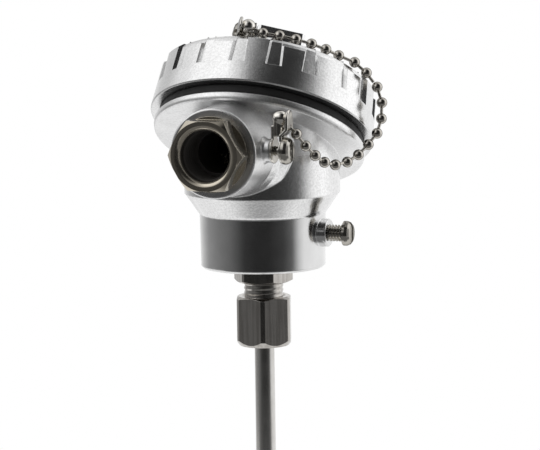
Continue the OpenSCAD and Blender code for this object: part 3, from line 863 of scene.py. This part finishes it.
@dataclass
class Piece:
    """A piece that is made here for a node; slot names that node's slot."""

    node: str
    slot: str
    corner_merge: ClassVar[float] = 0.001 * MM

    def ride_with_node(self, frame: Frame, piece: Object) -> None:
        """Puts the piece on its node's body.

        Args:
            piece: the finished piece.
        """
        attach(piece, body_of(frame, self.node))

    def copy_node(self, frame: Frame, name: str) -> Object:
        """Copies the node's mesh and merges its corners.

        Args:
            name: the copy's name.

        Returns:
            The copy, selected and active.
        """
        piece = frame["nodes"][self.node].copy()
        piece.data = piece.data.copy()
        piece.name = name
        bpy.context.scene.collection.objects.link(piece)
        pick(piece)
        bpy.ops.object.mode_set(mode="EDIT")
        weld(self.corner_merge)
        bpy.ops.object.mode_set(mode="OBJECT")
        bpy.ops.mesh.customdata_custom_splitnormals_clear()
        return piece


@dataclass
class Thread(Piece):
    """A screw thread, modelled as its helical surface with both ends closed."""

    name: str
    axis: Axis
    root: float
    crest: float
    pitch: float
    start: float
    stop: float
    steps: int = 48
    smooth_angle: float = math.radians(40.0)
    merge: float = 0.01 * MM
    end_merge: float = 0.002 * MM
    flank_share: float = 0.4
    crest_share: float = 0.12
    root_share: float = 0.08
    spare_turns: ClassVar[int] = 2

    def build(self, frame: Frame, palette: Palette) -> Object:
        """Builds the thread on the axis of the node that carries it.

        Args:
            palette: the finishes.

        Returns:
            The finished piece.
        """
        piece = self.wind_profile()
        bpy.ops.object.mode_set(mode="EDIT")
        self.close_ends()
        bpy.ops.object.mode_set(mode="OBJECT")
        bpy.ops.object.shade_smooth_by_angle(angle=self.smooth_angle)
        self.turn_to_axis(piece)
        bpy.ops.object.select_all(action="DESELECT")
        piece.data.materials.append(palette.materials[self.slot])
        self.ride_with_node(frame, piece)
        LOG.info("wound %s", self.name)
        return piece

    def outline(self) -> tuple[Pair, ...]:
        """Gives the steps that draw one pitch: a flank, the crest, a flank and the root.

        Returns:
            Each step's way out from the axis and along it.
        """
        rise, flank = self.crest - self.root, self.flank_share * self.pitch
        flats = (0.0, self.crest_share * self.pitch), (0.0, self.root_share * self.pitch)
        return (rise, flank), flats[0], (-rise, flank), flats[1]

    def wind_profile(self) -> Object:
        """Draws one pitch of the thread's outline and winds it round the Z axis.

        Returns:
            The wound surface.
        """
        bpy.ops.object.select_all(action="DESELECT")
        bpy.ops.mesh.primitive_plane_add(size=self.pitch)
        piece = bpy.context.object
        piece.name = self.name
        bpy.ops.object.mode_set(mode="EDIT")
        bpy.ops.mesh.merge(type="CENTER")
        bpy.ops.transform.translate(value=(self.root, 0.0, self.start - self.spare_turns * self.pitch))
        for out, up in self.outline():
            bpy.ops.mesh.extrude_vertices_move(TRANSFORM_OT_translate={"value": (out, 0.0, up)})
        bpy.ops.object.mode_set(mode="OBJECT")
        winding = piece.modifiers.new("winding", "SCREW")
        winding.axis = "Z"
        winding.screw_offset = self.pitch
        winding.iterations = round((self.stop - self.start) / self.pitch) + 2 * self.spare_turns
        winding.steps = self.steps
        winding.render_steps = self.steps
        winding.use_merge_vertices = True
        winding.merge_threshold = self.merge
        winding.use_smooth_shade = True
        bpy.ops.object.modifier_apply(modifier="winding")
        bpy.ops.object.mode_set(mode="EDIT")
        weld(self.merge)
        bpy.ops.object.mode_set(mode="OBJECT")
        return piece

    def close_ends(self) -> None:
        """Cuts the thread square at both ends and closes them."""
        for height, way in ((self.start, -1.0), (self.stop, 1.0)):
            bpy.ops.mesh.select_all(action="SELECT")
            bpy.ops.mesh.bisect(plane_co=(0.0, 0.0, height), plane_no=(0.0, 0.0, way), clear_outer=True)
        weld(self.end_merge)
        close_holes(0)

    def turn_to_axis(self, piece: Object) -> None:
        """Lays the thread along its axis, through the middle of its node.

        Args:
            piece: the closed thread, along Z.
        """
        low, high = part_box(self.node)
        middle = (Vector(low) + Vector(high)) / 2.0
        middle[self.axis.value] = 0.0
        piece.data.transform(Matrix.Translation(middle) @ self.axis.turn_from_z())
        piece.data.update()


@dataclass
class BoreThread(Thread):
    """A thread inside a bore, modelled as a ridge wound on the bore's wall."""

    half_share: float = 0.42
    spare_turns: ClassVar[int] = 0

    def outline(self) -> tuple[Pair, ...]:
        """Gives the steps that draw the ridge's closed section.

        Returns:
            Each step's way out from the axis and along it.
        """
        rise, half = self.crest - self.root, self.half_share * self.pitch
        return (rise, half), (-rise, half), (0.0, -2.0 * half)

    def close_ends(self) -> None:
        """Closes the ridge's two ends."""
        close_holes(4)


@dataclass
class TurnedHexagon(Piece):
    """A hexagon cut from bar, its corners turned down, at the angle it was tightened to."""

    angle: float
    corner_radius: float
    corner_sides: int = 192
    sleeve_spare: float = 1.0 * MM
    smooth_angle: float = math.radians(14.0)

    def build(self, frame: Frame) -> Object:
        """Builds the piece in place of its node.


        Returns:
            The finished piece.
        """
        piece = self.copy_node(frame, f"turned_{self.node}")
        piece.data.transform(Matrix.Rotation(self.angle, 4, "Z"))
        self.turn_corners(piece)
        self.ride_with_node(frame, piece)
        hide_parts(self.node)
        LOG.info("turned the corners of %s", self.node)
        return piece

    def turn_corners(self, piece: Object) -> None:
        """Turns the hexagon's corners down to a cylinder.

        Args:
            piece: the copy of the node.
        """
        low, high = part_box(self.node)
        height = high[2] - low[2] + 2.0 * self.sleeve_spare
        middle = (0.0, 0.0, (high[2] + low[2]) / 2.0)
        bpy.ops.object.select_all(action="DESELECT")
        bpy.ops.mesh.primitive_cylinder_add(
            vertices=self.corner_sides, radius=self.corner_radius, depth=height, location=middle
        )
        sleeve = bpy.context.object
        bpy.ops.object.transform_apply(location=True, rotation=True, scale=True)
        carve(piece, sleeve, "INTERSECT")
        bpy.ops.object.shade_smooth_by_angle(angle=self.smooth_angle)


@dataclass
class SoftPressing(Piece):
    """A small plated pressing whose edges are rolled round by the press and the plating barrel."""

    grid: float = 0.11 * MM
    passes: int = 7
    strength: float = 0.5
    # The pressing wears the lighter copy of the nickel, with its painted highlight.
    finish: str = "lit_pressed_nickel"

    def build(self, frame: Frame, palette: Palette) -> Object:
        """Builds the rounded pressing in place of its node.

        Args:
            palette: the finishes.

        Returns:
            The finished piece.
        """
        piece = self.copy_node(frame, f"pressed_{self.node}")
        self.form(piece)
        wrap = piece.modifiers.new("wrap", "REMESH")
        wrap.mode = "VOXEL"
        wrap.voxel_size = self.grid
        bpy.ops.object.modifier_apply(modifier="wrap")
        rolling = piece.modifiers.new("rolling", "SMOOTH")
        rolling.factor = self.strength
        rolling.iterations = self.passes
        bpy.ops.object.modifier_apply(modifier="rolling")
        bpy.ops.object.shade_smooth()
        piece.data.materials.clear()
        piece.data.materials.append(palette.materials[self.finish])
        self.ride_with_node(frame, piece)
        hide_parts(self.node)
        LOG.info("rounded the pressing %s, %d faces", self.node, len(piece.data.polygons))
        return piece

    def form(self, piece: Object) -> None:
        """Leaves the copy as it is, where another pressing changes its form."""


@dataclass
class UprightPressing(SoftPressing):
    """A pressing that stands upright, with a round cup and barrel in front of a narrow strap."""

    cup: float = 2.15 * MM
    barrel: float = 1.75 * MM
    barrel_back: float = 0.15 * MM
    barrel_foot: float = 4.3 * MM
    leaf: float = 2.4 * MM
    waist_cut: Triple = (1.9 * MM, 1.9 * MM, 5.2 * MM)
    waist_out: float = 2.4 * MM
    waist_up: float = 5.9 * MM

    def form(self, piece: Object) -> None:
        """Narrows the strap and swells the cup and the barrel.

        Args:
            piece: the copy of the node.
        """
        low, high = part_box(self.node)
        eye = (low[0], (low[1] + high[1]) / 2.0, low[2] + (high[1] - low[1]) / 2.0)
        self.narrow_strap(piece, eye)
        self.swell_cup(piece, eye, high[2] - self.leaf)

    def narrow_strap(self, piece: Object, eye: Triple) -> None:
        """Cuts the strap behind the barrel narrower, between the eye and the cup.

        Args:
            piece: the copy of the node.
            eye: the middle of the eye, on the strap's back.
        """
        back, middle, height = eye
        for side in (-1.0, 1.0):
            place = (back, middle + side * self.waist_out, height + self.waist_up)
            bpy.ops.object.select_all(action="DESELECT")
            bpy.ops.mesh.primitive_cube_add(size=1.0, location=place, scale=self.waist_cut)
            carve(piece, bpy.context.object, "DIFFERENCE")

    def swell_cup(self, piece: Object, eye: Triple, top: float) -> None:
        """Adds the full round of the cup and the barrel under it.

        Args:
            piece: the copy of the node.
            eye: the middle of the eye, on the strap's back.
            top: the height of the cup's middle.
        """
        back, middle, height = eye
        foot = height + self.barrel_foot
        bpy.ops.object.select_all(action="DESELECT")
        bpy.ops.mesh.primitive_uv_sphere_add(
            segments=48, ring_count=24, radius=self.cup, location=(back + self.cup, middle, top)
        )
        dome = bpy.context.object
        bpy.ops.mesh.primitive_cylinder_add(
            vertices=48, radius=self.barrel, depth=top - foot,
            location=(back + self.barrel + self.barrel_back, middle, (top + foot) / 2.0),
        )
        column = bpy.context.object
        pick(dome, column, piece)
        bpy.ops.object.join()


# -------------------- sub-assemblies


@dataclass
class EarthScrew:
    """The earth screw in the boss on the base, its thread measured back from its head's face."""

    root: float = 1.85 * MM
    crest: float = 2.5 * MM
    pitch: float = 0.95 * MM
    thread_start: float = 7.1 * MM
    thread_stop: float = 2.4 * MM

    def build(self, frame: Frame, palette: Palette) -> None:
        """Winds the thread between the boss and the head.

        Args:
            palette: the finishes.
        """
        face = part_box("earth_screw")[1][0]
        Thread(
            "earth_screw", "bright_screw", "earth_screw_thread", Axis.X, self.root, self.crest,
            self.pitch, face - self.thread_start, face - self.thread_stop,
        ).build(frame, palette)


@dataclass
class CompressionFitting:
    """The nipple under the base and the nut that grips the sheath."""

    slot: str = "turned_steel"
    root: float = 5.72 * MM
    crest: float = 5.95 * MM
    pitch: float = 1.5 * MM
    thread_below: float = 0.6 * MM
    thread_above: float = 3.9 * MM
    steps: int = 72
    nipple_angle: float = math.radians(22.7)
    nipple_corner: float = 9.0 * MM
    nut_angle: float = math.radians(-2.5)
    nut_corner: float = 8.88 * MM

    def wind_thread(self, frame: Frame, palette: Palette) -> None:
        """Winds the nipple's thread, from inside the nut up to the hexagon.

        Args:
            palette: the finishes.
        """
        nut_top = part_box("compression_nut")[1][2]
        Thread(
            "fitting_nipple", self.slot, "nipple_thread", Axis.Z, self.root, self.crest,
            self.pitch, nut_top - self.thread_below, nut_top + self.thread_above, self.steps,
        ).build(frame, palette)

    def turn_hexagons(self, frame: Frame) -> None:
        """Turns down the corners of the nipple's and the nut's hexagons.
        """
        TurnedHexagon("fitting_nipple", self.slot, self.nipple_angle, self.nipple_corner).build(frame)
        TurnedHexagon("compression_nut", self.slot, self.nut_angle, self.nut_corner).build(frame)


@dataclass
class CableEntry:
    """The hexagon bush in the cable entry."""

    root: float = 7.45 * MM
    crest: float = 6.85 * MM
    pitch: float = 1.5 * MM
    thread_start: float = 33.6 * MM
    thread_stop: float = 44.1 * MM
    steps: int = 72

    def build(self, frame: Frame, palette: Palette) -> None:
        """Winds the thread that the cable gland screws into.

        Args:
            palette: the finishes.
        """
        BoreThread(
            "entry_bush", "bush_nickel", "bush_thread", Axis.Y, self.root, self.crest,
            self.pitch, self.thread_start, self.thread_stop, self.steps,
        ).build(frame, palette)


@dataclass
class ChainCouplings:
    """The pressed couplings at the chain's two ends."""

    slot: str = "chain_nickel"

    def build(self, frame: Frame, palette: Palette) -> None:
        """Rounds the coupling on the head's lug and the one on the lid's bar.

        Args:
            palette: the finishes.
        """
        UprightPressing("body_shackle", self.slot).build(frame, palette)
        SoftPressing("lid_shackle", self.slot).build(frame, palette)


# -------------------- studio


@dataclass
class Studio:
    """The floor, the light round the probe and the camera.

    level_boxes and raised_boxes say how bright the room is round the probe, at its own height
    and higher up, as pairs of a direction in degrees, with 0 in front, and the brightness there.
    """

    floor_radius: float = 0.5
    floor_gap: float = 0.5 * MM
    floor_glow: float = 0.85
    floor_dark: Colour = (0.86, 0.86, 0.86)
    floor_light: Colour = (0.9, 0.9, 0.9)
    floor_patches: float = 40.0
    glow_fades: Pair = (0.015, 0.1)
    glow_far: float = 0.1
    lamp_size: float = 0.9
    lamp_power: float = 0.6
    lamp_aim: Vector = field(default_factory=lambda: Vector((0.0, 0.0, 0.04)))
    camera_at: Vector = field(default_factory=lambda: Vector((0.2920, -0.7862, 0.1467)))
    camera_back: Vector = field(default_factory=lambda: Vector((0.3428, -0.9303, 0.1305)))
    camera_roll: float = math.radians(0.8)
    lens: float = 187.5
    sensor: float = 36.0
    nearest: float = 0.01
    front: Vector = field(default_factory=lambda: Vector((0.3459, -0.9383, 0.0)))
    top_light: Colour = (0.35, 0.35, 0.35)
    under_light: Colour = (0.95, 0.95, 0.95)
    matt_light: Colour = (0.75, 0.75, 0.75)
    raised_heights: Pair = (0.14, 0.48)
    top_heights: Pair = (0.9, 0.98)
    under_heights: Pair = (-0.55, -0.3)
    lamps: ClassVar[dict[str, Triple]] = {
        "lamp_left": (-0.62, -0.42, 0.62),
        "lamp_right": (0.78, 0.5, 0.35),
    }
    level_boxes: ClassVar[tuple[Pair, ...]] = (
        (-180, 1.0), (-150, 0.7), (-120, 0.34), (-88, 0.22), (-64, 0.15), (-35, 0.035), (-12, 0.02),
        (12, 0.02), (38, 0.045), (56, 0.13), (70, 0.7), (82, 1.0), (180, 1.0),
    )
    raised_boxes: ClassVar[tuple[Pair, ...]] = (
        (-180, 0.75), (-150, 0.65), (-132, 0.9), (-60, 1.0), (-42, 0.8), (-22, 0.25), (-4, 0.04),
        (20, 0.015), (52, 0.015), (66, 0.15), (79, 0.85), (90, 0.95), (180, 0.95),
    )

    def build(self) -> None:
        """Builds the whole studio."""
        self.build_world()
        self.build_floor()
        self.build_lamps()
        self.build_camera()
        bpy.context.scene.view_settings.view_transform = "Standard"
        LOG.info("set up the studio")

    def build_world(self) -> None:
        """Surrounds the probe with soft boxes, and with a dark gap where the camera stands."""
        world = bpy.data.worlds.new("studio")
        bpy.context.scene.world = world
        world.use_nodes = True
        sheet = Sheet(world.node_tree)
        way = sheet.add("ShaderNodeTexCoord").outputs["Generated"]
        side = (-self.front.y, self.front.x, 0.0)
        ahead = sheet.vectors("DOT_PRODUCT", way, tuple(self.front)).outputs["Value"]
        right = sheet.vectors("DOT_PRODUCT", way, side).outputs["Value"]
        turn = sheet.maths("ARCTAN2", right, ahead)
        share = sheet.plus(sheet.maths("DIVIDE", turn, 2.0 * math.pi), 0.5)
        level = self.round_room(sheet, share, self.level_boxes)
        raised = self.round_room(sheet, share, self.raised_boxes)
        height = sheet.add("ShaderNodeSeparateXYZ", Vector=way).outputs["Z"]
        room = sheet.blend(sheet.span(height, *self.raised_heights), level, raised)
        room = sheet.blend(sheet.span(height, *self.top_heights), room, self.top_light)
        room = sheet.blend(sheet.span(height, *self.under_heights, 1.0, 0.0), room, self.under_light)
        path = sheet.add("ShaderNodeLightPath")
        shiny = sheet.larger(path.outputs["Is Glossy Ray"], path.outputs["Is Transmission Ray"])
        seen = sheet.blend(shiny, self.matt_light, room)
        seen = sheet.blend(path.outputs["Is Camera Ray"], seen, WHITE)
        background = sheet.add("ShaderNodeBackground", Color=seen, Strength=1.0)
        sheet.add("ShaderNodeOutputWorld", Surface=background.outputs[0])

    @staticmethod
    def round_room(sheet: Sheet, share: Socket, boxes: tuple[Pair, ...]) -> Socket:
        """Sets how bright the room is round the probe at one height.

        Args:
            sheet: the world's sheet.
            share: the direction, from 0 behind the probe over 0.5 in front of it to 1.
            boxes: pairs of a direction in degrees, with 0 in front, and the brightness there.

        Returns:
            The brightness as a colour socket.
        """
        ramp = sheet.add("ShaderNodeValToRGB", Fac=share)
        stops = ramp.color_ramp.elements
        stops.remove(stops[1])
        for number, (angle, level) in enumerate(boxes):
            place = angle / 360 + 0.5
            stop = stops[0] if number == 0 else stops.new(place)
            stop.position = place
            stop.color = (level, level, level, 1.0)
        return ramp.outputs["Color"]

    def build_floor(self) -> None:
        """Lays a round pale floor under the probe's tip."""
        low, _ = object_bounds()
        bpy.ops.object.select_all(action="DESELECT")
        bpy.ops.mesh.primitive_circle_add(vertices=96, radius=self.floor_radius, fill_type="NGON")
        floor = bpy.context.object
        floor.name = "floor"
        bpy.ops.transform.translate(value=(0.0, 0.0, low[2] - self.floor_gap))
        bpy.ops.object.transform_apply(location=True, rotation=True, scale=True)
        floor.data.materials.append(self.floor_material())
        floor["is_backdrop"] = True

    def floor_material(self) -> Material:
        """Makes the floor pale, bright in reflections near the probe and white to the camera.

        Returns:
            The floor's material.
        """
        material = bpy.data.materials.new("pale_floor")
        material.use_nodes = True
        sheet = Sheet(material.node_tree)
        place = sheet.add("ShaderNodeTexCoord").outputs["Object"]
        patches = sheet.noise(place, self.floor_patches, 2.0)
        colour = sheet.blend(patches, self.floor_dark, self.floor_light)
        matt = sheet.add("ShaderNodeBsdfDiffuse", Color=colour)
        ahead = sheet.vectors("DOT_PRODUCT", place, tuple(self.front)).outputs["Value"]
        near = sheet.span(ahead, *self.glow_fades, 1.0, self.glow_far)
        path = sheet.add("ShaderNodeLightPath")
        tone = sheet.blend(sheet.larger(near, path.outputs["Is Camera Ray"]), BLACK, WHITE)
        glow = sheet.add("ShaderNodeEmission", Color=tone, Strength=1.0)
        seen = sheet.larger(path.outputs["Is Camera Ray"], path.outputs["Is Glossy Ray"])
        mix = sheet.add("ShaderNodeMixShader")
        sheet.feed(mix, 0, sheet.times(seen, self.floor_glow))
        sheet.feed(mix, 1, matt.outputs[0])
        sheet.feed(mix, 2, glow.outputs[0])
        sheet.add("ShaderNodeOutputMaterial", Surface=mix.outputs[0])
        return material

    def build_lamps(self) -> None:
        """Hangs two soft lamps over the probe."""
        for name, corner in self.lamps.items():
            place = Vector(corner)
            data = bpy.data.lights.new(name, "AREA")
            data.shape = "DISK"
            data.size = self.lamp_size
            data.energy = self.lamp_power
            lamp = bpy.data.objects.new(name, data)
            lamp.location = place
            lamp.rotation_euler = (self.lamp_aim - place).to_track_quat("-Z", "Y").to_euler()
            bpy.context.scene.collection.objects.link(lamp)

    def build_camera(self) -> None:
        """Sets up the camera."""
        data = bpy.data.cameras.new("camera")
        data.lens = self.lens
        data.sensor_width = self.sensor
        data.clip_start = self.nearest
        camera = bpy.data.objects.new("camera", data)
        back = self.camera_back.normalized()
        level = Vector((0.0, 0.0, 1.0)).cross(back).normalized()
        up = back.cross(level)
        right = math.cos(self.camera_roll) * level - math.sin(self.camera_roll) * up
        top = math.sin(self.camera_roll) * level + math.cos(self.camera_roll) * up
        turn = Matrix((right, top, back)).transposed().to_4x4()
        camera.matrix_world = Matrix.Translation(self.camera_at) @ turn
        bpy.context.scene.collection.objects.link(camera)
        bpy.context.scene.camera = camera


def main() -> None:
    """Loads the frame, dresses it, adds the fine pieces and sets up the studio."""
    logging.basicConfig(level=logging.INFO, format="%(name)s: %(message)s")
    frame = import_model()
    palette = Palette(Effects())
    palette.dress_nodes(frame)
    fitting = CompressionFitting()
    EarthScrew().build(frame, palette)
    fitting.wind_thread(frame, palette)
    CableEntry().build(frame, palette)
    fitting.turn_hexagons(frame)
    ChainCouplings().build(frame, palette)
    Studio().build()


if __name__ == "__main__":
    main()
